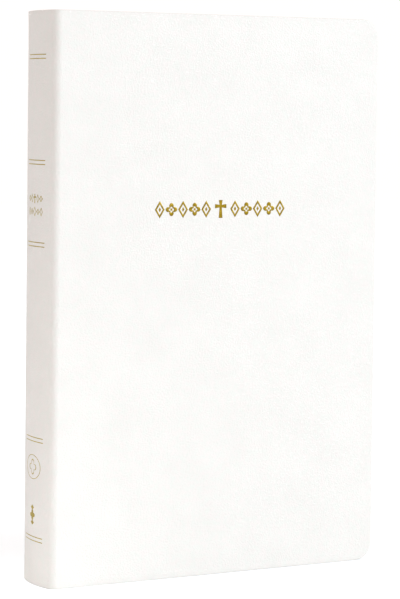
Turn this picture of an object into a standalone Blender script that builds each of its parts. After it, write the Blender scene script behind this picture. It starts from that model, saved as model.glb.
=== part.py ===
"""Upright limp-bound bible with a round spine, two hinged covers and a sewn text block.

Frame: metres, +Z up, origin under the middle of the closed book. The book stands on its tail edges,
with the spine at -X, the fore-edge at +X, the front cover at -Y and the rear cover at +Y.
"""

import math

import bmesh
import bpy

# The closed book
BOOK_HEIGHT = 0.2160
BOOK_WIDTH = 0.1430
BOOK_THICKNESS = 0.0260
COVER_CORNER_RADIUS = 0.0072
SPINE_RADIUS = 0.0370
SHOULDER_RADIUS = 0.0035

# Sheet and board thicknesses
LEATHER = 0.0006
BOARD = 0.0006
SPINE_CARD = 0.0005
LINING = 0.0003
MULL = 0.0003
THREAD = 0.0003
ENDPAPER = 0.00025

# Clearances: glue lines, the slit between two skins at a joint, and the air between gatherings
GLUE_LINE = 0.0003
JOINT_SLIT = 0.0003
GATHERING_AIR = 0.00015
HINGE_STAND_OFF = 0.0003

# Covers
COVER_TURN_IN = 0.0140
LEATHER_EDGE_ROUND = 0.0003
BOARD_SETBACK = 0.0040
PASTEDOWN_MARGIN = 0.0025
MULL_WING_WIDTH = 0.0240
MULL_WING_SETBACK = 0.0010

# Spine
SPINE_TURN_IN = 0.0100
MULL_END_MARGIN = 0.0120

# Text block
GATHERINGS_PER_HALF = 10
HEAD_SQUARE = 0.0030
FORE_SQUARE = 0.0035
PAGE_CORNER_RADIUS = 0.0060
HEADBAND_RADIUS = 0.0008
HEADBAND_INSET = 0.0005
STITCH_STATIONS = 5
STITCH_END_MARGIN = 0.0150
STITCH_HEIGHT = 0.0010

ARC_STEP = math.radians(15)
SPINE_STEPS = 10
SHARP_ANGLE = math.radians(45)
SAME_PLACE = 1e-6

# Worked out from the sizes above
HALF = BOOK_THICKNESS / 2
SPINE_X = -BOOK_WIDTH / 2
FORE_X = BOOK_WIDTH / 2
SPINE_CENTRE_X = SPINE_X + SPINE_RADIUS
SHOULDER_Y = HALF - SHOULDER_RADIUS
SHOULDER_REACH = math.sqrt((SPINE_RADIUS - SHOULDER_RADIUS) ** 2 - SHOULDER_Y**2)
SHOULDER_X = SPINE_CENTRE_X - SHOULDER_REACH
HINGE_X = SHOULDER_X - JOINT_SLIT
HINGE_Y = HALF + HINGE_STAND_OFF

POCKET = GLUE_LINE + BOARD + GLUE_LINE
COVER_DEPTH = LEATHER + POCKET + LEATHER
PASTEDOWN_DEPTH = COVER_DEPTH + GLUE_LINE
FLYLEAF_DEPTH = PASTEDOWN_DEPTH + ENDPAPER + GLUE_LINE
BLOCK_HALF = HALF - FLYLEAF_DEPTH - ENDPAPER - GLUE_LINE
GATHERING_PITCH = BLOCK_HALF / GATHERINGS_PER_HALF
GATHERING = GATHERING_PITCH - GATHERING_AIR

SPINE_POCKET = GLUE_LINE + SPINE_CARD + GLUE_LINE
SPINE_CARD_DEPTH = LEATHER + GLUE_LINE
SPINE_SKIN_DEPTH = LEATHER + SPINE_POCKET + LEATHER
LINING_DEPTH = LEATHER + SPINE_POCKET
MULL_DEPTH = LINING_DEPTH + LINING + GLUE_LINE
THREAD_DEPTH = MULL_DEPTH + MULL + GLUE_LINE
BLOCK_BACK_RADIUS = SPINE_RADIUS - THREAD_DEPTH - THREAD - GLUE_LINE

PAGE_TAIL = HEAD_SQUARE
PAGE_HEAD = BOOK_HEIGHT - HEAD_SQUARE

GRAIN_WHITE = (0.90, 0.89, 0.87, 1.0)
CARD_GREY = (0.62, 0.58, 0.52, 1.0)
KRAFT_BROWN = (0.52, 0.40, 0.27, 1.0)
GAUZE_WHITE = (0.84, 0.83, 0.78, 1.0)
THREAD_WHITE = (0.88, 0.87, 0.83, 1.0)
BAND_WHITE = (0.86, 0.84, 0.78, 1.0)
ENDPAPER_WHITE = (0.90, 0.89, 0.85, 1.0)
PAGE_WHITE = (0.87, 0.85, 0.79, 1.0)


def clear_scene():
    for obj in list(bpy.data.objects):
        bpy.data.objects.remove(obj, do_unlink=True)


def make_collection(name, hidden=False):
    made = bpy.data.collections.new(name)
    made.hide_render = hidden
    bpy.context.scene.collection.children.link(made)
    return made


def make_material(name, colour, roughness):
    made = bpy.data.materials.new(name)
    made.use_nodes = True
    shader = made.node_tree.nodes["Principled BSDF"]
    shader.inputs["Base Color"].default_value = colour
    shader.inputs["Roughness"].default_value = roughness
    shader.inputs["Metallic"].default_value = 0.0
    return made


def arc(centre_x, centre_y, radius, start, end, steps=None):
    """Points along a circular arc, both ends included."""
    if steps is None:
        steps = max(1, math.ceil(abs(end - start) / ARC_STEP - 1e-6))
    points = []
    for i in range(steps + 1):
        angle = start + (end - start) * i / steps
        points.append((centre_x + radius * math.cos(angle), centre_y + radius * math.sin(angle)))
    return points


def leaf_outline(back_x, fore_x, tail_z, head_z, corner):
    """A sheet seen from its face: a square back edge and two rounded fore-edge corners."""
    points = [(back_x, tail_z)]
    points += arc(fore_x - corner, tail_z + corner, corner, -math.pi / 2, 0)
    points += arc(fore_x - corner, head_z - corner, corner, 0, math.pi / 2)
    points.append((back_x, head_z))
    return points


def spine_path(depth, end_x):
    """The spine's section at this depth under its skin, from the front joint round to the rear joint.

    It is a shoulder arc, the long spine arc and the other shoulder arc, tangent to each other. It stops
    at x = end_x, or runs straight on to it where end_x is past the shoulder's centre.
    """
    radius = SHOULDER_RADIUS - depth
    tangent = math.asin(SHOULDER_Y / (SPINE_RADIUS - SHOULDER_RADIUS))
    past = end_x > SHOULDER_X
    lean = 0 if past else math.asin((SHOULDER_X - end_x) / radius)
    front = [(end_x, -SHOULDER_Y - radius)] if past else []
    front += arc(SHOULDER_X, -SHOULDER_Y, radius, -math.pi / 2 - lean, tangent - math.pi)
    spine = arc(SPINE_CENTRE_X, 0, SPINE_RADIUS - depth, tangent - math.pi, -tangent - math.pi, SPINE_STEPS)
    rear = [(x, -y) for x, y in reversed(front)]
    return front + spine[1:-1] + rear


def back_x(y):
    """Where the rounded back of the text block lies, this far from the book's middle plane."""
    return SPINE_CENTRE_X - math.sqrt(BLOCK_BACK_RADIUS**2 - y**2)


def outline_curve(name, points, thickness):
    """A flat outline, filled and given its thickness."""
    data = bpy.data.curves.new(name, "CURVE")
    data.dimensions = "2D"
    data.fill_mode = "BOTH"
    data.extrude = thickness / 2
    spline = data.splines.new("POLY")
    spline.points.add(len(points) - 1)
    for point, (u, v) in zip(spline.points, points):
        point.co = (u, v, 0, 1)
    spline.use_cyclic_u = True
    return bpy.data.objects.new(name, data)


def sheet(name, points, low_y, thickness):
    """An outline in the cover's plane, its faces looking along Y."""
    obj = outline_curve(name, points, thickness)
    obj.rotation_euler = (math.pi / 2, 0, 0)
    obj.location = (0, low_y + thickness / 2, 0)
    return obj


def prism(name, points, low_z, high_z):
    """An outline seen from above, raised from low_z to high_z."""
    obj = outline_curve(name, points, high_z - low_z)
    obj.location = (0, 0, (low_z + high_z) / 2)
    return obj


def curve_to_mesh(curve_obj, collection):
    """The same shape as a welded mesh object, which a Boolean can cut."""
    collection.objects.link(curve_obj)
    bpy.context.view_layer.update()
    evaluated = curve_obj.evaluated_get(bpy.context.evaluated_depsgraph_get())
    data = bpy.data.meshes.new_from_object(evaluated)
    welded = bmesh.new()
    welded.from_mesh(data)
    bmesh.ops.remove_doubles(welded, verts=welded.verts, dist=SAME_PLACE)
    bmesh.ops.recalc_face_normals(welded, faces=welded.faces)
    welded.to_mesh(data)
    welded.free()
    name = curve_obj.name
    placed = curve_obj.matrix_world.copy()
    bpy.data.objects.remove(curve_obj, do_unlink=True)
    made = bpy.data.objects.new(name, data)
    made.matrix_world = placed
    collection.objects.link(made)
    return made


def make_cutter(curve_obj):
    made = curve_to_mesh(curve_obj, cutters)
    made.hide_render = True
    made.display_type = "WIRE"
    return made


def cut(obj, cutter):
    modifier = obj.modifiers.new(cutter.name, "BOOLEAN")
    modifier.operation = "DIFFERENCE"
    modifier.solver = "EXACT"
    modifier.object = cutter


def finish_part(obj, material, joint=None):
    """Gives the part its material and its collection, and hangs it from its joint."""
    if obj.name not in book.objects:
        book.objects.link(obj)
    obj.data.materials.clear()
    obj.data.materials.append(material)
    if joint is not None:
        obj.parent = joint
        obj.location = obj.location - joint.location
    return obj


def side_y(side, depth, thickness):
    """The lower Y of a layer this deep under a cover's face: side -1 is the front, +1 the rear."""
    if side < 0:
        return -HALF + depth
    return HALF - depth - thickness


def make_joint(name, side):
    """The line that a cover and its half of the leaves turn about."""
    empty = bpy.data.objects.new(name, None)
    empty.empty_display_size = 0.01
    empty.location = (HINGE_X, side * HINGE_Y, 0)
    book.objects.link(empty)
    return empty


def round_free_edges(obj, joint_x):
    """Rounds the rims of both faces, all but the one at the joint, where the skin runs on."""
    shape = bmesh.new()
    shape.from_mesh(obj.data)
    weight = shape.edges.layers.float.new("bevel_weight_edge")
    for edge in shape.edges:
        first, second = (vertex.co for vertex in edge.verts)
        level = abs(first.z - second.z) < SAME_PLACE
        at_joint = max(first.x, second.x) < joint_x + SAME_PLACE
        if level and not at_joint and edge.calc_face_angle() > SHARP_ANGLE:
            edge[weight] = 1.0
    shape.to_mesh(obj.data)
    shape.free()
    modifier = obj.modifiers.new("free_edges", "BEVEL")
    modifier.limit_method = "WEIGHT"
    modifier.width = LEATHER_EDGE_ROUND
    modifier.segments = 2


def make_cover_leather(name, side, joint):
    """One side of the skin: the outer sheet and its turn-ins, wrapped round the pocket for the board."""
    skin_x = HINGE_X + JOINT_SLIT / 2
    outline = leaf_outline(skin_x, FORE_X, 0, BOOK_HEIGHT, COVER_CORNER_RADIUS)
    skin = curve_to_mesh(sheet(name, outline, side_y(side, 0, COVER_DEPTH), COVER_DEPTH), book)
    round_free_edges(skin, skin_x)
    open_x = HINGE_X - COVER_TURN_IN
    pocket = leaf_outline(
        open_x, FORE_X - LEATHER, LEATHER, BOOK_HEIGHT - LEATHER, COVER_CORNER_RADIUS - LEATHER
    )
    cut(skin, make_cutter(sheet(name + "_pocket", pocket, side_y(side, LEATHER, POCKET), POCKET)))
    window_x = FORE_X - COVER_TURN_IN
    window = [
        (open_x, COVER_TURN_IN),
        (window_x, COVER_TURN_IN),
        (window_x, BOOK_HEIGHT - COVER_TURN_IN),
        (open_x, BOOK_HEIGHT - COVER_TURN_IN),
    ]
    window_depth = LEATHER + POCKET / 2
    through = POCKET / 2 + LEATHER + LEATHER
    cut(skin, make_cutter(sheet(name + "_window", window, side_y(side, window_depth, through), through)))
    return finish_part(skin, leather_material, joint)


def make_board(name, side, joint):
    inset = LEATHER + GLUE_LINE
    outline = leaf_outline(
        HINGE_X + BOARD_SETBACK, FORE_X - inset, inset, BOOK_HEIGHT - inset, COVER_CORNER_RADIUS - inset
    )
    return finish_part(sheet(name, outline, side_y(side, inset, BOARD), BOARD), card_material, joint)


def make_mull_wing(name, side, joint):
    """The flap of spine cloth that is glued to the back of the pastedown, over the board."""
    depth = PASTEDOWN_DEPTH - GLUE_LINE - MULL
    low_x = HINGE_X + MULL_WING_SETBACK
    low_z = COVER_TURN_IN + GLUE_LINE
    high_z = BOOK_HEIGHT - low_z
    high_x = low_x + MULL_WING_WIDTH
    outline = [(low_x, low_z), (high_x, low_z), (high_x, high_z), (low_x, high_z)]
    return finish_part(sheet(name, outline, side_y(side, depth, MULL), MULL), gauze_material, joint)


def make_pastedown(name, side, joint):
    margin = PASTEDOWN_MARGIN
    outline = leaf_outline(
        HINGE_X + JOINT_SLIT / 2, FORE_X - margin, margin, BOOK_HEIGHT - margin, COVER_CORNER_RADIUS - margin
    )
    low_y = side_y(side, PASTEDOWN_DEPTH, ENDPAPER)
    return finish_part(sheet(name, outline, low_y, ENDPAPER), endpaper_material, joint)


def page_outline(y):
    """A leaf at this place in the block: the back follows the round spine, and so does the fore-edge."""
    outer_back = back_x(BLOCK_HALF)
    page_width = FORE_X - FORE_SQUARE - outer_back
    return leaf_outline(back_x(y), back_x(y) + page_width, PAGE_TAIL, PAGE_HEAD, PAGE_CORNER_RADIUS)


def make_flyleaf(name, side, joint):
    outline = page_outline(BLOCK_HALF)
    low_y = side_y(side, FLYLEAF_DEPTH, ENDPAPER)
    return finish_part(sheet(name, outline, low_y, ENDPAPER), endpaper_material, joint)


def make_gatherings(front_joint, rear_joint):
    """The folded gatherings, numbered from the front: each half turns with its own cover."""
    for i in range(2 * GATHERINGS_PER_HALF):
        joint = front_joint if i < GATHERINGS_PER_HALF else rear_joint
        low_y = -BLOCK_HALF + i * GATHERING_PITCH + GATHERING_AIR / 2
        middle = low_y + GATHERING / 2
        gathering = sheet(f"gathering_{i + 1:02d}", page_outline(middle), low_y, GATHERING)
        finish_part(gathering, page_material, joint)


def make_spine_leather():
    """The skin over the spine, turned in at head and tail round the pocket for the spine card."""
    end_x = HINGE_X - JOINT_SLIT / 2
    outline = spine_path(0, end_x) + spine_path(SPINE_SKIN_DEPTH, end_x)[::-1]
    skin = curve_to_mesh(prism("spine_leather", outline, 0, BOOK_HEIGHT), book)
    past_x = SHOULDER_X + SPINE_SKIN_DEPTH
    pocket = spine_path(LEATHER, past_x) + spine_path(SPINE_SKIN_DEPTH - LEATHER, past_x)[::-1]
    cut(skin, make_cutter(prism("spine_pocket", pocket, LEATHER, BOOK_HEIGHT - LEATHER)))
    window = spine_path(LEATHER + SPINE_POCKET / 2, past_x)
    cut(skin, make_cutter(prism("spine_window", window, SPINE_TURN_IN, BOOK_HEIGHT - SPINE_TURN_IN)))
    return finish_part(skin, leather_material)


def arc_band(name, depth, thickness, half_width, low_z, high_z):
    """A strip that follows the round spine at this depth."""
    outer = SPINE_RADIUS - depth
    inner = outer - thickness
    lean = math.asin(half_width / outer)
    points = arc(SPINE_CENTRE_X, 0, outer, math.pi + lean, math.pi - lean, SPINE_STEPS)
    points += arc(SPINE_CENTRE_X, 0, inner, math.pi - lean, math.pi + lean, SPINE_STEPS)
    return prism(name, points, low_z, high_z)


def make_spine_layers():
    """What lies between the skin and the backs of the gatherings."""
    card_end = LEATHER + GLUE_LINE
    card = arc_band(
        "spine_card", SPINE_CARD_DEPTH, SPINE_CARD, SHOULDER_Y, card_end, BOOK_HEIGHT - card_end
    )
    finish_part(card, card_material)
    band_low = max(SPINE_TURN_IN + GLUE_LINE, PAGE_TAIL + MULL_END_MARGIN)
    band_high = BOOK_HEIGHT - band_low
    lining = arc_band("spine_lining", LINING_DEPTH, LINING, BLOCK_HALF, band_low, band_high)
    finish_part(lining, kraft_material)
    mull = arc_band("spine_mull", MULL_DEPTH, MULL, BLOCK_HALF, band_low, band_high)
    finish_part(mull, gauze_material)


def make_sewing_thread():
    """The runs of thread that link the gatherings across the back, one at each sewing station."""
    lowest = PAGE_TAIL + STITCH_END_MARGIN
    spacing = (PAGE_HEAD - STITCH_END_MARGIN - STITCH_HEIGHT - lowest) / (STITCH_STATIONS - 1)
    half_width = BLOCK_HALF - GATHERING_PITCH / 2
    for i in range(STITCH_STATIONS):
        low_z = lowest + i * spacing
        name = f"sewing_thread_{i + 1}"
        finish_part(
            arc_band(name, THREAD_DEPTH, THREAD, half_width, low_z, low_z + STITCH_HEIGHT), thread_material
        )


def make_band(name, z):
    """The beaded band over the backs of the gatherings, at the head or the tail."""
    radius = BLOCK_BACK_RADIUS - HEADBAND_INSET
    lean = math.asin((BLOCK_HALF - HEADBAND_RADIUS) / radius)
    points = arc(SPINE_CENTRE_X, 0, radius, math.pi + lean, math.pi - lean, SPINE_STEPS)
    data = bpy.data.curves.new(name, "CURVE")
    data.dimensions = "3D"
    data.bevel_depth = HEADBAND_RADIUS
    data.bevel_resolution = 2
    data.use_fill_caps = True
    spline = data.splines.new("POLY")
    spline.points.add(len(points) - 1)
    for point, (x, y) in zip(spline.points, points):
        point.co = (x, y, 0, 1)
    obj = bpy.data.objects.new(name, data)
    obj.location = (0, 0, z)
    finish_part(obj, band_material)


clear_scene()
book = make_collection("bible")
cutters = make_collection("cutters", hidden=True)

leather_material = make_material("white_grain_leather", GRAIN_WHITE, 0.55)
card_material = make_material("grey_card", CARD_GREY, 0.90)
kraft_material = make_material("kraft_paper", KRAFT_BROWN, 0.90)
gauze_material = make_material("gauze", GAUZE_WHITE, 0.95)
thread_material = make_material("linen_thread", THREAD_WHITE, 0.80)
band_material = make_material("headband_cotton", BAND_WHITE, 0.80)
endpaper_material = make_material("endpaper", ENDPAPER_WHITE, 0.85)
page_material = make_material("thin_page_paper", PAGE_WHITE, 0.85)

front_joint = make_joint("front_joint", -1)
rear_joint = make_joint("rear_joint", 1)

for side, place, joint in ((-1, "front", front_joint), (1, "rear", rear_joint)):
    make_cover_leather(place + "_cover_leather", side, joint)
    make_board(place + "_board", side, joint)
    make_mull_wing(place + "_mull_wing", side, joint)
    make_pastedown(place + "_pastedown", side, joint)
    make_flyleaf(place + "_flyleaf", side, joint)

make_spine_leather()
make_spine_layers()
make_sewing_thread()
make_band("headband", PAGE_HEAD + GLUE_LINE + HEADBAND_RADIUS)
make_band("tailband", PAGE_TAIL - GLUE_LINE - HEADBAND_RADIUS)
make_gatherings(front_joint, rear_joint)
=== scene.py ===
# A white leather bible standing on its tail edges: skin, gold stamping, endpapers, gatherings and bands.
import math

import bmesh
import bpy
import numpy as np
from mathutils import Matrix, Vector


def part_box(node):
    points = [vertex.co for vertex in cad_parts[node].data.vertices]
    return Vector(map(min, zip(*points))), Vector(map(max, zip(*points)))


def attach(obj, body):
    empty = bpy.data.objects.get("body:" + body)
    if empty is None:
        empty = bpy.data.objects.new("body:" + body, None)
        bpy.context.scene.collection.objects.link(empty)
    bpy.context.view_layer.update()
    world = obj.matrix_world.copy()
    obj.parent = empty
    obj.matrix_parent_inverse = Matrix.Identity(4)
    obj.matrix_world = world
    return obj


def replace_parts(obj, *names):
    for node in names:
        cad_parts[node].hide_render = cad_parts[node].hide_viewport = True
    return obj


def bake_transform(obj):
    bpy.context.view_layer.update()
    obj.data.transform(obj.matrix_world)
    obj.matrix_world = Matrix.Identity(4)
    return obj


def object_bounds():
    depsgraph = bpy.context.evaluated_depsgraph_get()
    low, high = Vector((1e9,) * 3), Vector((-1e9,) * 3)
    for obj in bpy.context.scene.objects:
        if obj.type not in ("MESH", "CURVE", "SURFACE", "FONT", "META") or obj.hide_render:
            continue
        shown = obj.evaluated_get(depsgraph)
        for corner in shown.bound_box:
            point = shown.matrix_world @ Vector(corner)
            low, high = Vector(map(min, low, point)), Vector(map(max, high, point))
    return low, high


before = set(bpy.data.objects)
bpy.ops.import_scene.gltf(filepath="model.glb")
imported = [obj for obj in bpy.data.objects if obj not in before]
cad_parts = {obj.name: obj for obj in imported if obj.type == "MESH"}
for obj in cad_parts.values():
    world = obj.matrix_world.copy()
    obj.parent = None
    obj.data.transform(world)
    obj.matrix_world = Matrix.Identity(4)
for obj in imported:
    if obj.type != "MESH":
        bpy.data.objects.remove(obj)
cadLow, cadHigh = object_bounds()
print("frame loaded,", len(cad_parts), "nodes")

mm = 0.001
book = dict(left=cadLow.x, right=cadHigh.x, half=cadHigh.y, height=cadHigh.z)
sides = {"front": -1, "rear": 1}


# Mesh helpers


def cellsOf(table):
    # the cells of a table of point numbers, four corners each
    corners = [table[:-1, :-1], table[1:, :-1], table[1:, 1:], table[:-1, 1:]]
    return np.stack(corners, axis=-1).reshape(-1, 4)


def numbered(first, *shape):
    # a table of point numbers counted row by row from first
    return first + np.arange(int(np.prod(shape))).reshape(shape)


def makePiece(name, points, quads, maps, sharpAngle=50):
    # One mesh from arrays. Points in the same place become one, which closes poles, mitres and seams.
    data = bpy.data.meshes.new(name)
    data.from_pydata(np.asarray(points).tolist(), [], np.asarray(quads).tolist())
    for key, values in maps.items():
        layer = data.attributes.new(key, "FLOAT_VECTOR", "POINT")
        layer.data.foreach_set("vector", np.asarray(values, dtype=np.float32).ravel())
    shape = bmesh.new()
    shape.from_mesh(data)
    bmesh.ops.remove_doubles(shape, verts=shape.verts, dist=0.001 * mm)
    bmesh.ops.recalc_face_normals(shape, faces=shape.faces)
    shape.to_mesh(data)
    shape.free()
    data.shade_smooth()
    data.set_sharp_from_angle(angle=math.radians(sharpAngle))
    piece = bpy.data.objects.new(name, data)
    bpy.context.scene.collection.objects.link(piece)
    return piece


ripple = dict(waves=5, slowest=0.8, fastest=1.4, finer=1.4, weaker=1.3, full=2.6)


def softNoise(x, y, seed):
    # Smooth noise from about -1 to 1: a sum of sine waves in seeded directions, each finer and weaker than the last.
    rng = np.random.default_rng(seed)
    total = np.zeros(np.broadcast(x, y).shape)
    for n in range(ripple["waves"]):
        angle, phase = rng.uniform(0, 2 * math.pi, 2)
        rate = rng.uniform(ripple["slowest"], ripple["fastest"]) * ripple["finer"]**n
        wave = np.sin(rate * (x * math.cos(angle) + y * math.sin(angle)) + phase)
        total = total + wave / ripple["weaker"]**n
    return total / ripple["full"]


def stepped(start, end, step):
    # evenly spaced places from start to end, about one step apart
    return np.linspace(start, end, max(int(round((end - start) / step)), 1) + 1)


def joinedRuns(*runs):
    # several runs of places one after another, without the repeated ends
    return np.unique(np.round(np.concatenate(runs), 9))


def ringLine(columns, rows, rounded, arcSteps=8):
    # The line round a rectangle of core points, with the way out at each: bottom, right, top and left in turn.
    # At a rounded corner the way out swings through a quarter turn, and at a square one it is the diagonal.
    # rounded has three answers for an outline that is open on its left, and four for a closed one.
    runs = [
        (columns, np.full_like(columns, rows[0]), (0, -1)),
        (np.full_like(rows, columns[-1]), rows, (1, 0)),
        (columns[::-1], np.full_like(columns, rows[-1]), (0, 1)),
        (np.full_like(rows, columns[0]), rows[::-1], (-1, 0)),
    ]
    core, out = [], []
    for n, (x, z, way) in enumerate(runs):
        if n > 2 and len(rounded) < 4:
            break
        core.append(np.stack([x, z], axis=1))
        out.append(np.tile(np.array(way, float), (len(x), 1)))
        if n >= len(rounded):
            continue
        turn = math.atan2(way[1], way[0]) + np.linspace(0, math.pi / 2, arcSteps + 1)[1:-1]
        ways = np.stack([np.cos(turn), np.sin(turn)], axis=1)
        if not rounded[n]:
            ways = np.array([[way[0] - way[1], way[1] + way[0]]], float)
        core.append(np.tile([x[-1], z[-1]], (len(ways), 1)))
        out.append(ways)
    return np.concatenate(core), np.concatenate(out)


def ringRows(core, out, radius, insets, openLeft):
    # Rings at the given insets from the outline: the core line, pushed out by what the inset leaves of the corner
    # radius, or drawn in by what it has over that radius.
    left = np.maximum(radius - insets, 0)[..., None]
    over = np.maximum(insets - radius, 0)
    low, high = core.min(axis=0), core.max(axis=0)
    x = np.clip(core[:, 0], low[0] + (0 if openLeft else over), high[0] - over)
    z = np.clip(core[:, 1], low[1] + over, high[1] - over)
    return np.stack([x, z], axis=-1) + left * out


def foldedSheet(columns, rows, radius, outer, inner):
    # A sheet turned in over three edges of a rectangle. Its outside and its inside are each a set of rings that ends
    # at the core, and the core's own grid. They meet along the turned-in lip and along the open left side.
    # Gives points as (along, up, depth) with each point's inset, and quads.
    core, out = ringLine(columns, rows, (True, True))
    points, insets, quads, tables = [], [], [], []
    count = 0
    for profile in (outer, inner):
        inset = np.tile(np.array(profile)[:, :1], (1, len(core)))
        flat = ringRows(core, out, radius, inset, True)
        depth = np.tile(np.array(profile)[:, 1:], (1, len(core)))
        points.append(np.concatenate([flat, depth[..., None]], axis=-1).reshape(-1, 3))
        insets.append(inset.ravel())
        ring = numbered(count, *inset.shape)
        across, up = np.meshgrid(columns, rows, indexing="ij")
        points.append(np.stack([across, up, np.full_like(up, profile[-1][1])], axis=-1).reshape(-1, 3))
        edges = np.minimum(np.minimum(up - rows[0], rows[-1] - up), columns[-1] - across)
        insets.append((edges + radius).ravel())
        grid = numbered(count + ring.size, *up.shape)
        count += ring.size + grid.size
        quads += [cellsOf(ring), cellsOf(grid)]
        tables.append((ring[0], np.concatenate([ring[:, 0], grid[0], ring[::-1, -1]])))
    lips, seams = zip(*tables)
    quads += [cellsOf(np.stack(lips)), cellsOf(np.stack(seams))]
    return np.concatenate(points), np.concatenate(insets), np.concatenate(quads)


def leafSlab(columns, rows, radius, rounded, rim):
    # A closed slab: a rim of rings across the thickness, whose first and last lie at the core, and a grid over each
    # face. rim(core, out) gives the rings' insets and their shares of the thickness from 0 to 1.
    # Gives points as (across, up, share) with a mark that is 1 on the rim and 0 on the faces, and quads.
    core, out = ringLine(columns, rows, rounded)
    core, out = np.concatenate([core, core[:1]]), np.concatenate([out, out[:1]])
    insets, shares = rim(core, out)
    flat = ringRows(core, out, radius, insets, False)
    points = [np.concatenate([flat, shares[..., None]], axis=-1).reshape(-1, 3)]
    ring = numbered(0, *insets.shape)
    quads, onRim = [cellsOf(ring)], [((shares > 0.01) & (shares < 0.99)).ravel().astype(float)]
    across, up = np.meshgrid(columns, rows, indexing="ij")
    for n, share in enumerate((0.0, 1.0)):
        points.append(np.stack([across, up, np.full_like(up, share)], axis=-1).reshape(-1, 3))
        quads.append(cellsOf(numbered(ring.size + n * up.size, *up.shape)))
        onRim.append(np.zeros(up.size))
    return np.concatenate(points), np.concatenate(onRim), np.concatenate(quads)


# Material helpers


def node(tree, kind, settings=None, **sockets):
    # one shader node with its settings, and its inputs set or linked; an underscore stands for a space
    made = tree.nodes.new("ShaderNode" + kind)
    for key, value in (settings or {}).items():
        setattr(made, key, value)
    for key, value in sockets.items():
        name = key.replace("_", " ")
        socket = made.inputs[int(name[3:])] if name.startswith("at ") else made.inputs[name]
        if isinstance(value, bpy.types.NodeSocket):
            tree.links.new(value, socket)
        else:
            socket.default_value = value
    return made


def startFinish(name, place=None, **values):
    # A material with one Principled shader, and the coordinates its patterns read: the attribute named by place
    # where one is given, or else Object coordinates.
    material = bpy.data.materials.new(name)
    material.use_nodes = True
    tree = material.node_tree
    shader = tree.nodes["Principled BSDF"]
    for key, value in values.items():
        shader.inputs[key.replace("_", " ")].default_value = value
    if place:
        where = node(tree, "Attribute", {"attribute_name": place}).outputs["Vector"]
    else:
        where = node(tree, "TexCoord").outputs["Object"]
    return material, tree, shader, where


def noise(tree, where, scale, detail=4.0, stretch=(1, 1, 1)):
    # noise of that many cells a metre, drawn out where stretch is under 1
    scaled = node(tree, "Mapping", Vector=where, Scale=stretch).outputs[0]
    return node(tree, "TexNoise", Vector=scaled, Scale=scale, Detail=detail, Roughness=0.55).outputs["Fac"]


def maths(tree, operation, a, b=0.0, c=0.0):
    # one sum worked on up to three numbers or sockets
    return node(tree, "Math", {"operation": operation}, at_0=a, at_1=b, at_2=c).outputs[0]


def ramp(tree, factor, low, high, darker, lighter):
    # from one colour to another as the factor goes from low to high
    made = node(tree, "ValToRGB", Fac=factor)
    for stop, place, colour in zip(made.color_ramp.elements, (low, high), (darker, lighter)):
        stop.position = place
        stop.color = (*colour, 1)
    return made.outputs["Color"]


def mixed(tree, factor, a, b):
    # the first colour taken towards the second by the factor
    made = node(tree, "Mix", {"data_type": "RGBA", "blend_type": "MIX"}, at_0=factor)
    for socket, value in ((made.inputs[6], a), (made.inputs[7], b)):
        if isinstance(value, bpy.types.NodeSocket):
            tree.links.new(value, socket)
        else:
            socket.default_value = (*value, 1)
    return made.outputs[2]


def bumps(tree, shader, *layers):
    # several heights, each with the distance in metres that it stands for, laid one on another
    normal = None
    for height, distance, strength in layers:
        made = node(tree, "Bump", Height=height, Distance=distance, Strength=strength)
        if normal:
            tree.links.new(normal, made.inputs["Normal"])
        normal = made.outputs["Normal"]
    tree.links.new(normal, shader.inputs["Normal"])


def ranged(tree, value, low, high):
    # a value between 0 and 1 taken in proportion to one between low and high
    return node(tree, "MapRange", Value=value, To_Min=low, To_Max=high).outputs["Result"]


# The camera and the studio

camera = dict(
    place=(-417.30 * mm, -779.27 * mm, 180.77 * mm), yaw=-28.10, pitch=-2.594, roll=-0.65, lens=136.53, sensor=36.0,
    near=0.05, far=50, rise=-0.1503,
)
studio = dict(
    air=(1.06, 1.02, 1.00), airStrength=1.0, floorSize=6.0, floorDrop=0.02 * mm, floorGlow=0.20,
    glowColour=(0.92, 1.0, 1.08), floorDark=(0.80,) * 3, floorLight=(0.84,) * 3, cloudScale=3.0,
    lamps={
        "key": dict(
            place=(2.20, -2.40, 1.15), aim=(0.0, 0.0, 0.09), size=1.6, power=84.0,
            colour=(0.76, 0.91, 1.0), spread=180,
        ),
        "pool": dict(
            place=(-0.150, -0.060, 0.42), aim=(-0.125, -0.045, 0.0), size=0.08, power=0.052,
            colour=(0.92, 0.99, 1.0), spread=27,
        ),
        "low": dict(
            place=(0.30, -0.70, 0.10), aim=(0.05, -0.013, 0.0), size=0.10, power=0.0060,
            colour=(0.85, 0.96, 1.0), spread=25,
        ),
    },
)


def aimCamera():
    # The camera's three axes: a turn about up, then a nod, then a lean about the line of sight. Its frame lies below
    # the line of sight by a share of the frame's height, as a lowered lens board gives.
    turns = [(camera["yaw"], "Z"), (camera["pitch"], "X"), (camera["roll"], "Y")]
    axes = Matrix.Identity(3)
    for angle, axis in turns:
        axes = axes @ Matrix.Rotation(math.radians(angle), 3, axis)
    right, ahead, up = axes.col
    data = bpy.data.cameras.new("camera")
    data.lens, data.sensor_width = camera["lens"], camera["sensor"]
    data.clip_start, data.clip_end, data.shift_y = camera["near"], camera["far"], camera["rise"]
    made = bpy.data.objects.new("camera", data)
    turned = Matrix((right, up, -ahead)).transposed().to_4x4()
    made.matrix_world = Matrix.Translation(camera["place"]) @ turned
    bpy.context.scene.collection.objects.link(made)
    bpy.context.scene.camera = made


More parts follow.
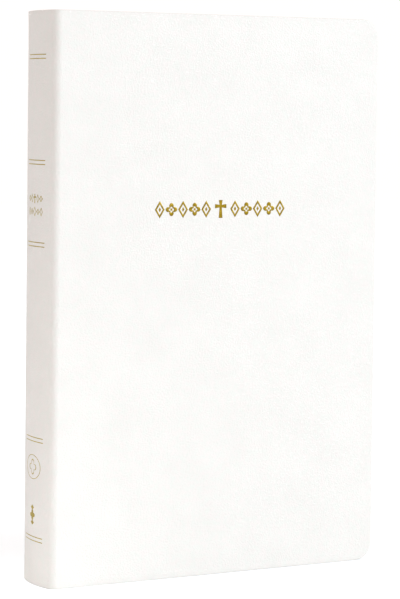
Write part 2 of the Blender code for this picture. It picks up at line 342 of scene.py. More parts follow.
def buildStudio():
    # white air all round, a white floor, a large soft lamp on the cover's side, a small one above the floor beside
    # the spine, and a weak low one for the foot of the cover
    scene = bpy.context.scene
    scene.view_settings.view_transform = "Standard"
    scene.world = scene.world or bpy.data.worlds.new("studio")
    scene.world.use_nodes = True
    air = scene.world.node_tree.nodes["Background"]
    air.inputs["Color"].default_value = (*studio["air"], 1)
    air.inputs["Strength"].default_value = studio["airStrength"]
    reach = studio["floorSize"] / 2
    corners = [(x * reach, y * reach, -studio["floorDrop"]) for x, y in ((-1, -1), (1, -1), (1, 1), (-1, 1))]
    data = bpy.data.meshes.new("floor")
    data.from_pydata(corners, [], [(0, 1, 2, 3)])
    floor = bpy.data.objects.new("floor", data)
    scene.collection.objects.link(floor)
    material, tree, shader, where = startFinish(
        "studioFloor", Roughness=0.7, Emission_Color=(*studio["glowColour"], 1), Emission_Strength=studio["floorGlow"],
    )
    cloud = ramp(tree, noise(tree, where, studio["cloudScale"]), 0.3, 0.7, studio["floorDark"], studio["floorLight"])
    tree.links.new(cloud, shader.inputs["Base Color"])
    data.materials.append(material)
    for name, facts in studio["lamps"].items():
        lamp = bpy.data.lights.new(name, "AREA")
        lamp.shape, lamp.size, lamp.spread = "DISK", facts["size"], math.radians(facts["spread"])
        lamp.energy, lamp.color = facts["power"], facts["colour"]
        hung = bpy.data.objects.new(name, lamp)
        hung.location = facts["place"]
        sight = Vector(facts["aim"]) - Vector(facts["place"])
        hung.rotation_euler = sight.to_track_quat("-Z", "Y").to_euler()
        hung.visible_camera = False
        scene.collection.objects.link(hung)


aimCamera()
buildStudio()
print("camera and studio ready")


# The skin

leather = dict(
    spineRadius=37.0 * mm, shoulderRadius=3.5 * mm, sheet=0.55 * mm, face=0.04 * mm, inside=2.35 * mm,
    corner=7.2 * mm, turnIn=13.6 * mm, roll=0.35 * mm, softness=0.10 * mm, softReach=6.0 * mm,
    arcStep=0.8 * mm, shoulderStep=0.28 * mm, jointStep=0.4 * mm, coverStep=4.0 * mm, jointWidth=5.0 * mm,
    bendFrom=(-69.5 * mm, 11.0 * mm), bendTo=(-63.5 * mm, 13.0 * mm),
    light=(0.640, 0.607, 0.584), dark=(0.592, 0.563, 0.538), pink=(0.645, 0.582, 0.562), green=(0.596, 0.597, 0.559),
    # the worn grey colours the worn edges, and is also painted shade in the grain's hollows
    wearAndShadeGrey=(0.56, 0.52, 0.48), farLip=9.0 * mm, lipSteps=(4.0 * mm, 2.2 * mm), faceSteps=(1.6 * mm, 2.6 * mm, 4.5 * mm),
    leastRoll=0.02 * mm, sinkAcross=22 * mm, sinkUp=30 * mm, sinkSeed=11, grainScale=1700.0, wanderScale=500.0,
    wanderReach=0.0004, creaseScale=900.0, slowScale=60.0, mottleScale=420.0, rubScale=260.0, rubReach=1.6 * mm,
    rubMost=0.42, tintShare=0.5, hollowShadeShare=0.32, pebbleDeep=0.14 * mm, creaseDeep=0.08 * mm, slowDeep=0.25 * mm,
)
shoulderY = book["half"] - leather["shoulderRadius"]
shoulderReach = leather["spineRadius"] - leather["shoulderRadius"]
spineCentreX = book["left"] + leather["spineRadius"]
shoulderX = spineCentreX - math.sqrt(shoulderReach**2 - shoulderY**2)
spineLean = math.asin(shoulderY / shoulderReach)
arcEnd = leather["spineRadius"] * spineLean
shoulderEnd = arcEnd + leather["shoulderRadius"] * (math.pi / 2 - spineLean)
sheetEnd = shoulderEnd + book["right"] - shoulderX


def onSkin(along, depth):
    # The skin's line seen from above, from the middle of the spine (0) to a fore-edge, the front one being positive:
    # a long arc, a shoulder arc that meets it at a tangent, and a straight run. Depth goes in, square to the line.
    away = np.abs(along)
    onArc, onShoulder = away < arcEnd, away < shoulderEnd
    longTurn = away / leather["spineRadius"]
    longRadius = leather["spineRadius"] - depth
    shortTurn = spineLean + (away - arcEnd) / leather["shoulderRadius"]
    shortRadius = leather["shoulderRadius"] - depth
    x = np.where(
        onArc, spineCentreX - longRadius * np.cos(longTurn),
        np.where(onShoulder, shoulderX - shortRadius * np.cos(shortTurn), shoulderX + away - shoulderEnd),
    )
    y = np.where(
        onArc, longRadius * np.sin(longTurn),
        np.where(onShoulder, shoulderY + shortRadius * np.sin(shortTurn), book["half"] - depth),
    )
    return x, y * -np.sign(along)


def skinSink(along, up, inset):
    # how far the soft outer face lies in from the full size: slow noise that dies away to the edges
    fade = np.clip(inset / leather["softReach"], 0, 1)
    wave = softNoise(along / leather["sinkAcross"], up / leather["sinkUp"], leather["sinkSeed"])
    return leather["softness"] * fade * (0.5 + 0.5 * wave)


def rolledEdge(offset):
    # The leather's line over an edge, as (inset, depth): along the turn-in, round two quarter turns of the roll
    # radius, and out along the face. The inside follows it at that offset.
    radius = max(leather["roll"] - offset, leather["leastRoll"])
    centre = offset + radius
    turn = np.linspace(0, math.pi / 2, 6)
    deep, shallow = leather["inside"] - offset, leather["face"] + offset
    lip = [(d, deep) for d in (leather["turnIn"], leather["farLip"], leather["corner"], *leather["lipSteps"])]
    under = np.stack([centre - radius * np.sin(turn), deep - radius + radius * np.cos(turn)], axis=1)
    over = np.stack([centre - radius * np.cos(turn), shallow + radius - radius * np.sin(turn)], axis=1)
    face = [(d, shallow) for d in (*leather["faceSteps"], leather["corner"])]
    return np.concatenate([lip, under, over, face])


def makeSkin(name, start, side):
    # one sheet from the seam at start to the fore-edge on that side, round the shoulder between the spine and its
    # cover
    joint = shoulderEnd + leather["jointWidth"]
    arc = stepped(min(start, arcEnd), arcEnd, leather["arcStep"]) if start < arcEnd else np.array([start])
    columns = joinedRuns(
        arc, stepped(arcEnd, shoulderEnd, leather["shoulderStep"]), stepped(shoulderEnd, joint, leather["jointStep"]),
        stepped(joint, sheetEnd - leather["corner"], leather["coverStep"]),
    )
    rows = stepped(leather["corner"], book["height"] - leather["corner"], leather["coverStep"])
    flat, inset, quads = foldedSheet(columns, rows, leather["corner"], rolledEdge(0), rolledEdge(leather["sheet"]))
    along, up, depth = flat[:, 0] * -side, flat[:, 1], flat[:, 2]
    outside = 1 - np.clip(depth / leather["inside"], 0, 1)
    x, y = onSkin(along, depth + outside * skinSink(along, up, inset))
    y = np.where(along == 0, 0, y)
    turned = np.where(depth > leather["inside"] / 2, 1.0, 0.0)
    skinMap = np.stack([along + turned * 0.5, up, inset], axis=1)
    skin = makePiece(name, np.stack([x, y, up], axis=1), quads, {"skinMap": skinMap}, 60)
    start, end = leather["bendFrom"], leather["bendTo"]
    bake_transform(skin)
    return skin


def leatherFinish():
    # white grained leather: two sizes of pebble with painted shade greying their hollows, fine creases, faint pink and
    # green mottling, and greyer worn edges
    material, tree, shader, where = startFinish("whiteLeather", "skinMap", Specular_IOR_Level=0.35)
    flatPlace = node(tree, "VectorMath", {"operation": "MULTIPLY"}, at_0=where, at_1=(1, 1, 0)).outputs[0]
    wander = node(tree, "TexNoise", Vector=flatPlace, Scale=leather["wanderScale"], Detail=3.0).outputs["Color"]
    bent = node(
        tree, "VectorMath", {"operation": "MULTIPLY_ADD"},
        at_0=wander, at_1=(leather["wanderReach"],) * 3, at_2=flatPlace,
    )
    pebble = node(
        tree, "TexVoronoi", {"feature": "SMOOTH_F1"},
        Vector=bent.outputs[0], Scale=leather["grainScale"], Smoothness=0.5,
    ).outputs["Distance"]
    crease = noise(tree, flatPlace, leather["creaseScale"], 6.0)
    slow = noise(tree, flatPlace, leather["slowScale"], 3.0)
    mottle = noise(tree, flatPlace, leather["mottleScale"], 3.0)
    base = ramp(tree, slow, 0.3, 0.7, leather["dark"], leather["light"])
    tint = ramp(tree, mottle, 0.38, 0.62, leather["pink"], leather["green"])
    base = mixed(tree, leather["tintShare"], base, tint)
    # painted shade: the hollows between the pebbles are greyed towards the worn grey by the pebble distance
    base = mixed(tree, maths(tree, "MULTIPLY", pebble, leather["hollowShadeShare"]), base, leather["wearAndShadeGrey"])
    inset = node(tree, "SeparateXYZ", Vector=where).outputs["Z"]
    nearEdge = node(
        tree, "MapRange", Value=inset, From_Min=0.0, From_Max=leather["rubReach"],
        To_Min=leather["rubMost"], To_Max=0.0,
    )
    # wear: the edges grey towards that colour within the rub reach, in patches
    wearAndShadeGrey = maths(tree, "MULTIPLY", nearEdge.outputs["Result"], noise(tree, flatPlace, leather["rubScale"], 5.0))
    tree.links.new(mixed(tree, wearAndShadeGrey, base, leather["wearAndShadeGrey"]), shader.inputs["Base Color"])
    tree.links.new(ranged(tree, mottle, 0.44, 0.62), shader.inputs["Roughness"])
    bumps(
        tree, shader, (pebble, leather["pebbleDeep"], 0.60), (crease, leather["creaseDeep"], 0.45),
        (slow, leather["slowDeep"], 0.20),
    )
    return material


skinFinish = leatherFinish()
frontSkin = makeSkin("spine_and_front_leather", -arcEnd, -1)
rearSkin = makeSkin("rear_leather", arcEnd, 1)
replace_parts(frontSkin, "spine_leather", "front_cover_leather")
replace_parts(rearSkin, "rear_cover_leather")
for skin in (frontSkin, rearSkin):
    skin.data.materials.append(skinFinish)
print("leather ready")


# The gold stamping

gilding = dict(
    proud=0.030 * mm, sunk=0.06 * mm, bevel=0.03 * mm, ruleHalf=7.5 * mm, ruleThick=0.33 * mm, ruleGap=1.5 * mm,
    ruleTops=(199.52, 160.05, 129.27, 55.84, 18.22), stroke=0.70 * mm, fineStroke=0.27 * mm, hairStroke=0.25 * mm,
    lowShare=0.6, topRings=8, broadScale=700.0, fineScale=2600.0, broadDeep=0.02 * mm, fineDeep=0.01 * mm,
    smallCross=(2.1 * mm, 3.5 * mm, 0.45 * mm), crossUp=146.2 * mm, upperRow=145.7 * mm, lowerRow=140.8 * mm,
    centreDiamond=(2.7 * mm, 3.6 * mm), diamond=(2.0 * mm, 3.4 * mm), bloom=2.3 * mm, upperApart=(2.5, 4.9),
    lowerApart=(2.7, 5.1), ring=(12.2 * mm, 9.3 * mm), ringBloom=6.0 * mm, ringUp=44.6 * mm, footBloom=4.2 * mm,
    footUp=26.4 * mm, footDiamond=(2.8 * mm, 2.0 * mm), footApart=2.85 * mm, rowShift=0.9 * mm, rowLevel=141.5 * mm,
    rowPlaces=(6.3, 11.3, 16.3, 21.3, 26.3), cross=(5.0 * mm, 6.9 * mm, 1.05 * mm), crossLift=1.1 * mm,
    rowBloom=5.0 * mm, rowDot=0.9 * mm, rowDiamond=(4.2 * mm, 6.6 * mm), rowSeed=(1.1 * mm, 1.8 * mm),
    # the front's foil colours are painted darker than the spine's: painted shade that takes back the key lamp's extra
    # light on the cover
    front=dict(deep=(0.150, 0.093, 0.006), bright=(0.245, 0.157, 0.016), rubbed=(0.34, 0.26, 0.10)),
    spine=dict(deep=(0.290, 0.212, 0.020), bright=(0.420, 0.318, 0.050), rubbed=(0.50, 0.42, 0.20)),
)


def alongEdges(corners, steps=6):
    # points spaced along the sides of a closed polygon
    here = np.array(corners, float)
    ahead = np.roll(here, -1, axis=0)
    share = (np.arange(steps) / steps)[None, :, None]
    return (here[:, None] + (ahead - here)[:, None] * share).reshape(-1, 2)


def lozenge(width, height):
    # four corners, half the width and half the height from the middle
    return alongEdges([(width / 2, 0), (0, height / 2), (-width / 2, 0), (0, -height / 2)])


def plate(width, height):
    # a rectangle about its middle
    x, z = width / 2, height / 2
    return alongEdges([(x, -z), (x, z), (-x, z), (-x, -z)], 10)


def roundel(width, height=None, count=36):
    # an ellipse: half the width by the cosine and half the height by the sine, or a circle when no height is given
    turn = np.arange(count) * 2 * math.pi / count
    return np.stack([width / 2 * np.cos(turn), (height or width) / 2 * np.sin(turn)], axis=1)


def petals(width, number=4, depth=0.5, count=64):
    # a flower outline: the radius swells and shrinks once for each petal
    turn = np.arange(count) * 2 * math.pi / count
    reach = width / 2 * (1 - depth + depth * np.abs(np.cos(number * turn / 2)))
    return np.stack([reach * np.cos(turn), reach * np.sin(turn)], axis=1)


def latinCross(width, height, stroke):
    # a plain cross seen from its crossing, with the arms above the middle and flared ends
    arm, half, top = width / 2, stroke / 2, height * 0.34
    foot, flare = height - top, stroke * 0.28
    return alongEdges([
        (half, half), (arm, half + flare), (arm, -half - flare), (half, -half), (half + flare, -foot),
        (-half - flare, -foot), (-half, -half), (-arm, -half - flare), (-arm, half + flare), (-half, half),
        (-half - flare, top), (half + flare, top),
    ], 4)


def stampRows(outline, stroke):
    # One stamped shape as rings about its middle: each ring is the outline, drawn in towards the middle. A filled
    # shape runs from a pole on top over its bevel to a pole beneath; an open one is a closed loop of rings.
    away = np.linalg.norm(outline, axis=1)
    reach = away.min() if stroke else away.max()
    edge = 1 - gilding["bevel"] / reach
    top, low, base = gilding["proud"], gilding["proud"] * gilding["lowShare"], -gilding["sunk"]
    if stroke:
        hole = 1 - stroke / reach
        wall = hole + gilding["bevel"] / reach
        rings = [
            (hole, base), (hole, low), (wall, top), ((wall + edge) / 2, top),
            (edge, top), (1, low), (1, base), (hole, base),
        ]
    else:
        topRings = [(share * edge, top) for share in np.linspace(0, 1, gilding["topRings"])]
        rings = topRings + [(1, low), (1, base), (0, base)]
    scale, height = np.array(rings).T
    closed = np.concatenate([outline, outline[:1]])
    flat = scale[:, None, None] * closed[None]
    return np.concatenate([flat, np.broadcast_to(height[:, None, None], (*flat.shape[:2], 1))], axis=-1)


def makeGilding(name, stamps, body, colours):
    # every stamped shape of one part of the skin, laid on the leather's own surface
    points, quads, count = [], [], 0
    for outline, along, up, stroke in stamps:
        rows = stampRows(outline, stroke)
        quads.append(cellsOf(numbered(count, *rows.shape[:2])))
        points.append(rows.reshape(-1, 3) + np.array([along, up, 0]))
        count += rows.shape[0] * rows.shape[1]
    along, up, height = np.concatenate(points).T
    inset = np.minimum(np.minimum(up, book["height"] - up), sheetEnd - np.abs(along))
    depth = leather["face"] + skinSink(along, up, inset) - height
    x, y = onSkin(along, depth)
    y = np.where(along == 0, 0, y)
    foilMap = np.stack([along, up, height], axis=1)
    piece = makePiece(name, np.stack([x, y, up], axis=1), np.concatenate(quads), {"foilMap": foilMap}, 35)
    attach(piece, body)
    piece.data.materials.append(goldFinish(name + "_foil", colours))
    return piece


def goldFinish(name, colours):
    # gold foil on a grained ground: bright metal whose tone goes from deep to bright in small patches, and rubbed thin
    # in small spots
    material, tree, shader, where = startFinish(name, "foilMap", Metallic=1.0)
    broad, fine = noise(tree, where, gilding["broadScale"], 3.0), noise(tree, where, gilding["fineScale"], 4.0)
    base = ramp(tree, broad, 0.35, 0.65, colours["deep"], colours["bright"])
    spots = node(tree, "MapRange", Value=fine, From_Min=0.60, From_Max=0.72, To_Min=0.0, To_Max=0.5).outputs["Result"]
    tree.links.new(mixed(tree, spots, base, colours["rubbed"]), shader.inputs["Base Color"])
    tree.links.new(ranged(tree, fine, 0.24, 0.46), shader.inputs["Roughness"])
    bumps(tree, shader, (broad, gilding["broadDeep"], 0.35), (fine, gilding["fineDeep"], 0.30))
    return material


def spineStamps():
    # five pairs of plain rules, two short rows of ornaments, a ringed flower, and a flower between two lozenges
    stamps = []
    for top in gilding["ruleTops"]:
        for drop in (0, gilding["ruleGap"]):
            rule = plate(2 * gilding["ruleHalf"], gilding["ruleThick"])
            stamps.append((rule, 0.0, top * mm - drop, None))
    fine, hair = gilding["fineStroke"], gilding["hairStroke"]
    upper, lower, ringUp, footUp = (gilding[key] for key in ("upperRow", "lowerRow", "ringUp", "footUp"))
    nearUp, farUp = gilding["upperApart"]
    nearLow, farLow = gilding["lowerApart"]
    stamps.append((latinCross(*gilding["smallCross"]), 0.0, gilding["crossUp"], None))
    stamps.append((lozenge(*gilding["centreDiamond"]), 0.0, lower, fine))
    for way in (-1, 1):
        stamps.append((lozenge(*gilding["diamond"]), way * nearUp * mm, upper, fine))
        stamps.append((petals(gilding["bloom"]), way * farUp * mm, upper, hair))
        stamps.append((petals(gilding["bloom"]), way * nearLow * mm, lower, hair))
        stamps.append((lozenge(*gilding["diamond"]), way * farLow * mm, lower, fine))
    stamps.append((roundel(*gilding["ring"]), 0.0, ringUp, hair))
    stamps.append((petals(gilding["ringBloom"]), 0.0, ringUp, hair))
    stamps.append((petals(gilding["footBloom"]), 0.0, footUp, None))
    for way in (-1, 1):
        stamps.append((lozenge(*gilding["footDiamond"]), 0.0, footUp + way * gilding["footApart"], None))
    return stamps


def coverStamps():
    # a plain cross between two matching rows of lozenges and flowers
    middle, level = shoulderEnd + gilding["rowShift"] - shoulderX, gilding["rowLevel"]
    stamps = [(latinCross(*gilding["cross"]), middle, level + gilding["crossLift"], None)]
    for way in (-1, 1):
        for n, away in enumerate(gilding["rowPlaces"]):
            place = middle + way * away * mm
            if n % 2:
                stamps.append((petals(gilding["rowBloom"]), place, level, gilding["stroke"]))
                stamps.append((roundel(gilding["rowDot"]), place, level, None))
            else:
                stamps.append((lozenge(*gilding["rowDiamond"]), place, level, gilding["stroke"]))
                stamps.append((lozenge(*gilding["rowSeed"]), place, level, None))
    return stamps


makeGilding("spine_gilding", spineStamps(), "spine", gilding["spine"])
makeGilding("front_gilding", coverStamps(), "front_cover", gilding["front"])
print("gold stamping ready")


# Paper

paper = dict(
    swell=0.055 * mm, corner=6.0 * mm, leafGroups=8, groove=0.11 * mm, crest=0.02 * mm, waver=0.10 * mm,
    bendFrom=-68.0 * mm, bendTo=-38.0 * mm, nearStep=1.0 * mm, turnReach=6.0 * mm, turnStep=0.4 * mm,
    farStep=14.0 * mm, upStep=14.0 * mm,
    page=(0.81, 0.785, 0.735), edge=(0.79, 0.755, 0.70), shade=(0.60, 0.56, 0.50), ink=(0.16, 0.155, 0.15),
    endpaper=(0.79, 0.775, 0.735), endpaperDark=(0.74, 0.72, 0.675), gatherings=20, firstSeed=100,
    foldHalf=0.42 * mm, waverReach=9 * mm, waverTurn=3, faceFrom=0.6 * mm, faceStep=0.9 * mm,
    leafScale=900.0, bandScale=160.0, fibreScale=1800.0, cloudScale=90.0, bandShare=0.45, cloudDark=0.96,
)
# the grey bars: two columns on a page, lines cut into words, all in metres but the shares
bars = dict(
    columns=(0.040, 0.0955), columnHalf=0.0255, middle=0.105, half=0.092, linePitch=0.0028, lineShare=0.40,
    wordPitch=0.0011, gapShare=0.20, darkness=0.42, rimMark=0.02,
)


def plainRim(corner, step):
    # a thin sheet's rim: out along one face in small steps, over the edge, and back along the other face
    def rim(core, out):
        # the insets and the shares of the thickness, the same at every place on the outline
        face = stepped(corner, 0.04 * mm, step)
        insets = np.concatenate([face, [0.0], face[::-1]])
        shares = np.repeat([0.0, 0.5, 1.0], [len(face), 1, len(face)])
        return [np.tile(values[:, None], (1, len(core))) for values in (insets, shares)]
    return rim


def gatheringRim(seed):
    # A gathering's rim: grooves between groups of leaves on the three cut sides, which waver a little along their
    # length, and on the back a half-round fold.
    def rim(core, out):
        # the cut sides' insets taken towards the fold's as the way out turns to the back
        def tile(values):
            # one column of values repeated for every place on the outline
            return np.tile(np.array(values)[:, None], (1, len(core)))
        groups = paper["leafGroups"]
        share = np.linspace(0, 1, 2 * groups + 1)
        rng = np.random.default_rng(seed)
        crests = paper["crest"] + rng.uniform(0, paper["groove"] * 0.5, 2 * groups + 1)
        ridges = np.where(np.arange(2 * groups + 1) % 2 == 0, paper["groove"], crests)
        reach, shift = paper["waverReach"], share[:, None] * paper["waverTurn"]
        wave = softNoise(core[None, :, 0] / reach, core[None, :, 1] / reach + shift, seed)
        waver = paper["waver"] * (0.5 + 0.5 * wave)
        cut = ridges[:, None] + waver
        fold = paper["foldHalf"] * (1 - np.sqrt(np.clip(1 - (2 * share - 1) ** 2, 0, 1)))
        onFold = np.clip(-out[:, 0], 0, 1)[None]
        insets = cut * (1 - onFold) + fold[:, None] * onFold
        face = stepped(paper["corner"], paper["faceFrom"], paper["faceStep"])
        insets = np.concatenate([tile(face), insets, tile(face[::-1])])
        shares = np.concatenate([tile(0 * face), tile(share), tile(0 * face + 1)])
        return insets, shares
    return rim


def bendColumns(start, step, end, farStep):
    # places across a leaf: close steps to the turn, closest from there to paper's bendTo, then wide ones
    turn = paper["bendTo"] - paper["turnReach"]
    return joinedRuns(
        stepped(start, turn, step), stepped(turn, paper["bendTo"], paper["turnStep"]),
        stepped(paper["bendTo"], end, farStep),
    )


def makeGathering(n):
    # one folded gathering in the place of its CAD node, thick enough to lie on its neighbours
    name = f"gathering_{n:02d}"
    low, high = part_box(name)
    radius = paper["corner"]
    columns = bendColumns(low.x + radius, paper["nearStep"], high.x - radius, paper["farStep"])
    rows = stepped(low.z + radius, high.z - radius, paper["upStep"])
    rim = gatheringRim(paper["firstSeed"] + n)
    flat, onRim, quads = leafSlab(columns, rows, radius, (True, True, False, False), rim)
    x, z = flat[:, 0], flat[:, 1]
    y = low.y - paper["swell"] + flat[:, 2] * (high.y - low.y + 2 * paper["swell"])
    maps = {"place": np.stack([x, y, z], axis=1), "page": np.stack([x - low.x, z - low.z, onRim], axis=1)}
    piece = makePiece(f"leaves_{n:02d}", np.stack([x, y, z], axis=1), quads, maps, 60)
    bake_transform(piece)
    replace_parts(piece, name)
    piece.data.materials.append(pageFinish)
    return piece


def pageFinishing():
    # Thin printed paper. The cut edges show each leaf as a fine line. The faces carry two columns of plain grey bars
    # that stand for lines of print, broken into words of uneven length.
    material, tree, shader, where = startFinish("biblePaper", "place", Roughness=0.78, Specular_IOR_Level=0.2)
    leaves = noise(tree, where, paper["leafScale"], 3.0, (0.05, 24.0, 0.05))
    bands = noise(tree, where, paper["bandScale"], 3.0, (0.10, 7.0, 0.10))
    fibre = noise(tree, where, paper["fibreScale"], 4.0)
    cloud = noise(tree, where, paper["cloudScale"], 4.0)
    thinLines = ramp(tree, leaves, 0.40, 0.60, paper["shade"], paper["edge"])
    broadLines = ramp(tree, bands, 0.35, 0.65, paper["shade"], paper["edge"])
    edges = mixed(tree, paper["bandShare"], thinLines, broadLines)
    faces = ramp(tree, cloud, 0.2, 0.8, tuple(c * paper["cloudDark"] for c in paper["page"]), paper["page"])
    page = node(tree, "Attribute", {"attribute_name": "page"}).outputs["Vector"]
    across, up, rim = node(tree, "SeparateXYZ", Vector=page).outputs
    left, right = (maths(tree, "COMPARE", across, middle, bars["columnHalf"]) for middle in bars["columns"])
    columns = maths(tree, "ADD", left, right)
    block = maths(tree, "COMPARE", up, bars["middle"], bars["half"])
    line = maths(tree, "MULTIPLY", up, 1 / bars["linePitch"])
    bar = maths(tree, "LESS_THAN", maths(tree, "FRACT", line), bars["lineShare"])
    place = maths(tree, "FLOOR", maths(tree, "MULTIPLY", across, 1 / bars["wordPitch"]))
    cell = node(tree, "CombineXYZ", X=place, Y=maths(tree, "FLOOR", line)).outputs[0]
    chance = node(tree, "TexWhiteNoise", {"noise_dimensions": "2D"}, Vector=cell).outputs["Value"]
    words = maths(tree, "GREATER_THAN", chance, bars["gapShare"])
    mask = maths(tree, "MULTIPLY", maths(tree, "MULTIPLY", columns, block), maths(tree, "MULTIPLY", bar, words))
    onFace = maths(tree, "LESS_THAN", rim, bars["rimMark"])
    mask = maths(tree, "MULTIPLY", mask, maths(tree, "MULTIPLY", onFace, bars["darkness"]))
    printed = mixed(tree, mask, faces, paper["ink"])
    onRim = maths(tree, "GREATER_THAN", rim, bars["rimMark"])
    tree.links.new(mixed(tree, onRim, printed, edges), shader.inputs["Base Color"])
    bumps(tree, shader, (leaves, 0.03 * mm, 0.35), (fibre, 0.01 * mm, 0.25))
    return material


pageFinish = pageFinishing()
for n in range(1, paper["gatherings"] + 1):
    makeGathering(n)
print("gatherings ready")


endsheet = dict(
    pasteCorner=4.7 * mm, flyCorner=6.0 * mm, wingCorner=1.0 * mm, hingeLap=0.3 * mm, hingeStep=0.35 * mm,
    bendStep=0.8 * mm, farStep=7.0 * mm, upStep=9.0 * mm, cockle=0.07 * mm, cockleAcross=30 * mm, cockleUp=26 * mm,
    cockleSeed=40,
)


def makeSheet(name, cadNode, columns, up, corner, step, locate, bend, finish):
    # A thin sheet over those columns and a height, with a rim in small steps. locate turns (along, up, share of the
    # thickness) into x and y. bend is not used.
    rows = stepped(up[0] + corner, up[1] - corner, endsheet["upStep"])
    flat, _, quads = leafSlab(columns, rows, corner, (True, True, False, False), plainRim(corner, step))
    x, y = locate(*flat.T)
    points = np.stack([x, y, flat[:, 1]], axis=1)
    piece = makePiece(name, points, quads, {"place": points}, 60)
    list(bend[0])
    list(bend[1])
    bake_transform(piece)
    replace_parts(piece, cadNode)
    piece.data.materials.append(finish)
    return piece


def makeCoverSheet(name, side, cadNode, start, corner, finish):
    # a sheet glued inside a cover: it follows the skin's line at its CAD node's depth, from start to the node's end
    low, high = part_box(cadNode)
    near, far = sorted(book["half"] - abs(y) for y in (low.y, high.y))
    toAlong = shoulderEnd - shoulderX

    def locate(along, up, share):
        # the skin's line, at that share of the way through the sheet
        return onSkin(along * -sides[side], near + share * (far - near))
    bend = [(x, sides[side] * y) for x, y in (leather["bendFrom"], leather["bendTo"])]
    step, nearEnd = endsheet["hingeStep"], shoulderEnd + leather["jointWidth"]
    columns = joinedRuns(
        stepped((start or low.x + toAlong) + corner, nearEnd, step),
        stepped(nearEnd, high.x + toAlong - corner, endsheet["farStep"]),
    )
    makeSheet(
        name, cadNode, columns, (low.z, high.z), corner, step, locate, bend, finish,
    )


def makeFlyleaf(side):
    # the free endpaper, with a slow cockle that grows away from its joint
    low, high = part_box(f"{side}_flyleaf")

    def locate(x, up, share):
        # the node's own thickness, raised by a slow wave that grows from the joint
        wave = softNoise(x / endsheet["cockleAcross"], up / endsheet["cockleUp"], endsheet["cockleSeed"] + sides[side])
        rise = endsheet["cockle"] * np.clip((x - low.x) / endsheet["cockleAcross"], 0, 1)
        return x, low.y + share * (high.y - low.y) + rise * wave
    corner, step = endsheet["flyCorner"], endsheet["bendStep"]
    columns = bendColumns(low.x + corner, step, high.x - corner, endsheet["farStep"])
    makeSheet(
        f"{side}_free_endpaper", f"{side}_flyleaf", columns, (low.z, high.z), corner, step,
        locate, [(paper["bendFrom"], 0), (paper["bendTo"], 0)], endFinish,
    )


def endpaperFinish():
    # heavier uncoated paper with soft fibres and faint laid lines across the sheet
    material, tree, shader, where = startFinish("endpaper", "place", Roughness=0.82, Specular_IOR_Level=0.18)
    fibre, cloud = noise(tree, where, 1500.0, 5.0, (1, 1, 0.35)), noise(tree, where, 60.0, 4.0)
    laid = node(
        tree, "TexWave", {"bands_direction": "Z"}, Vector=where, Scale=260.0, Distortion=0.6, Detail=2.0,
    ).outputs["Fac"]
    base = ramp(tree, cloud, 0.3, 0.7, paper["endpaperDark"], paper["endpaper"])
    base = mixed(tree, maths(tree, "MULTIPLY", fibre, 0.25), base, paper["endpaperDark"])
    tree.links.new(base, shader.inputs["Base Color"])
    bumps(tree, shader, (laid, 0.012 * mm, 0.25), (fibre, 0.015 * mm, 0.35))
    return material


def gauzeFinish(place):
    # open cotton mull: two crossed sets of threads with soft slubs
    name = "bookGauze" + ("Bent" if place else "")
    material, tree, shader, where = startFinish(name, place, Roughness=0.9, Sheen_Weight=0.2)
    upright, level = (
        node(
            tree, "TexWave", {"bands_direction": way}, Vector=where, Scale=420.0, Distortion=1.2, Detail=1.0,
        ).outputs["Fac"]
        for way in "XZ"
    )
    weave = maths(tree, "MAXIMUM", upright, level)
    tree.links.new(ramp(tree, weave, 0.35, 0.85, (0.42, 0.39, 0.33), (0.78, 0.75, 0.68)), shader.inputs["Base Color"])
    bumps(tree, shader, (weave, 0.08 * mm, 0.7))
    return material


endFinish, bentGauze = endpaperFinish(), gauzeFinish("place")
for side in sides:
    pasteStart = arcEnd + endsheet["hingeLap"]
    makeCoverSheet(
        f"{side}_pasted_endpaper", side, f"{side}_pastedown", pasteStart,
        endsheet["pasteCorner"], endFinish,
    )
    makeCoverSheet(f"{side}_gauze_wing", side, f"{side}_mull_wing", None, endsheet["wingCorner"], bentGauze)
    makeFlyleaf(side)
print("endpapers ready")


# Bands at head and tail

bandSizes = dict(
    radius=0.8 * mm, arcRadius=33.0 * mm, halfWidth=8.4 * mm, inFromEnd=1.9 * mm, beads=30, dip=0.20,
    beadSteps=7, roundSteps=24, endPower=24,
)


def makeBand(name, level):
    # A bead-stitched tube on the block's round back: the radius swells once for each stitch, along a line that winds
    # a little round the tube, and closes to a point at each end.
    lean = math.asin(bandSizes["halfWidth"] / bandSizes["arcRadius"])
    share = np.linspace(0, 1, bandSizes["beads"] * bandSizes["beadSteps"] + 1)[:, None]
    turn = np.linspace(0, 2 * math.pi, bandSizes["roundSteps"] + 1)[None]
    bead = np.abs(np.sin(math.pi * bandSizes["beads"] * share + turn * 0.5))
    ends = np.sqrt(np.clip(1 - np.abs(2 * share - 1) ** bandSizes["endPower"], 0, 1))
    radius = bandSizes["radius"] * (1 - bandSizes["dip"] + bandSizes["dip"] * np.sqrt(bead)) * ends
    angle = (2 * share - 1) * lean
    reach = bandSizes["arcRadius"] + radius * np.cos(turn)
    x = spineCentreX - reach * np.cos(angle)
    y = reach * np.sin(angle)
    z = level + radius * np.sin(turn)
    points = np.stack([x, y, z], axis=-1).reshape(-1, 3)
    alongBand = np.broadcast_to(share * bandSizes["beads"] + turn / (2 * math.pi), x.shape)
    maps = {"stitch": np.stack([alongBand, np.broadcast_to(turn, x.shape), 0 * x], axis=-1).reshape(-1, 3)}
    piece = makePiece(name, points, cellsOf(numbered(0, *x.shape)), maps, 70)
    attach(piece, "spine")
    piece.data.materials.append(bandFinish)
    return piece


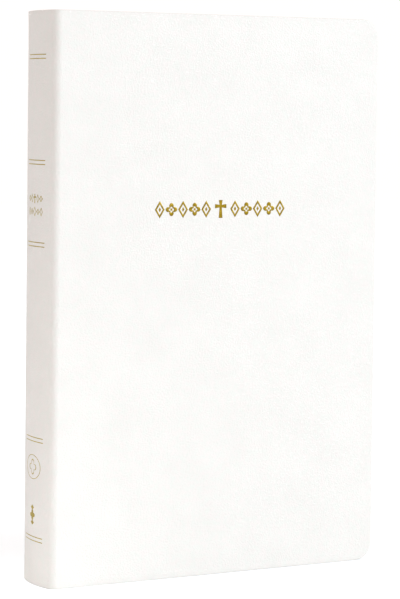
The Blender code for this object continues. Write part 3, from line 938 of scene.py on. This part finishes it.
def stitchFinish():
    # silky thread wound in stitches: fine strands along each, and a warmer stitch at every other place
    material, tree, shader, where = startFinish("stitchedBand", "stitch", Roughness=0.5, Sheen_Weight=0.3)
    alongBand = node(tree, "SeparateXYZ", Vector=where).outputs["X"]
    other = maths(tree, "LESS_THAN", maths(tree, "FRACT", maths(tree, "MULTIPLY", alongBand, 0.5)), 0.5)
    strands = noise(tree, where, 6.0, 3.0, (4.0, 0.25, 1.0))
    colour = mixed(tree, other, (0.80, 0.78, 0.74), (0.70, 0.62, 0.46))
    colour = mixed(tree, maths(tree, "MULTIPLY", strands, 0.35), colour, (0.48, 0.44, 0.36))
    tree.links.new(colour, shader.inputs["Base Color"])
    bumps(tree, shader, (strands, 0.04 * mm, 0.5))
    return material


bandFinish = stitchFinish()
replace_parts(makeBand("head_band", book["height"] - bandSizes["inFromEnd"]), "headband")
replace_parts(makeBand("tail_band", bandSizes["inFromEnd"]), "tailband")
print("bands ready")


# Carried pieces


def cardFinish():
    # grey-white millboard: mixed fibres, dark and light flecks, and a slightly rough face
    material, tree, shader, where = startFinish("millboard", Roughness=0.9, Specular_IOR_Level=0.15)
    fibre, fleck = noise(tree, where, 1200.0, 5.0, (1, 1, 0.3)), noise(tree, where, 2800.0, 2.0)
    base = ramp(tree, fibre, 0.3, 0.7, (0.40, 0.38, 0.34), (0.56, 0.54, 0.49))
    spots = node(
        tree, "MapRange", Value=fleck, From_Min=0.62, From_Max=0.70, To_Min=0.0, To_Max=0.7,
    ).outputs["Result"]
    tree.links.new(mixed(tree, spots, base, (0.22, 0.21, 0.20)), shader.inputs["Base Color"])
    bumps(tree, shader, (fibre, 0.04 * mm, 0.5))
    return material


def kraftFinish():
    # brown kraft paper with long fibres up the spine
    material, tree, shader, where = startFinish("kraftPaper", Roughness=0.85, Specular_IOR_Level=0.2)
    fibre, cloud = noise(tree, where, 1600.0, 6.0, (1, 1, 0.12)), noise(tree, where, 130.0, 4.0)
    base = ramp(tree, fibre, 0.3, 0.7, (0.30, 0.19, 0.10), (0.47, 0.32, 0.18))
    base = mixed(tree, maths(tree, "MULTIPLY", cloud, 0.4), base, (0.38, 0.26, 0.15))
    tree.links.new(base, shader.inputs["Base Color"])
    bumps(tree, shader, (fibre, 0.03 * mm, 0.5))
    return material


def threadFinish():
    # waxed linen thread: two plies twisted together, with loose fibres
    material, tree, shader, where = startFinish("linenThread", Roughness=0.6, Sheen_Weight=0.25)
    ply = node(
        tree, "TexWave", {"bands_direction": "DIAGONAL"}, Vector=where, Scale=900.0, Distortion=0.5,
    ).outputs["Fac"]
    fibre = noise(tree, where, 3500.0, 4.0)
    base = ramp(tree, ply, 0.2, 0.8, (0.50, 0.46, 0.38), (0.76, 0.72, 0.63))
    base = mixed(tree, maths(tree, "MULTIPLY", fibre, 0.3), base, (0.55, 0.51, 0.43))
    tree.links.new(base, shader.inputs["Base Color"])
    bumps(tree, shader, (ply, 0.10 * mm, 0.7), (fibre, 0.02 * mm, 0.4))
    return material


carried = {
    cardFinish(): ("front_board", "rear_board", "spine_card"),
    kraftFinish(): ("spine_lining",),
    gauzeFinish(None): ("spine_mull",),
    threadFinish(): tuple(f"sewing_thread_{n}" for n in range(1, 6)),
}
for finish, names in carried.items():
    for name in names:
        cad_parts[name].data.materials.clear()
        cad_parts[name].data.materials.append(finish)
print("carried pieces ready")
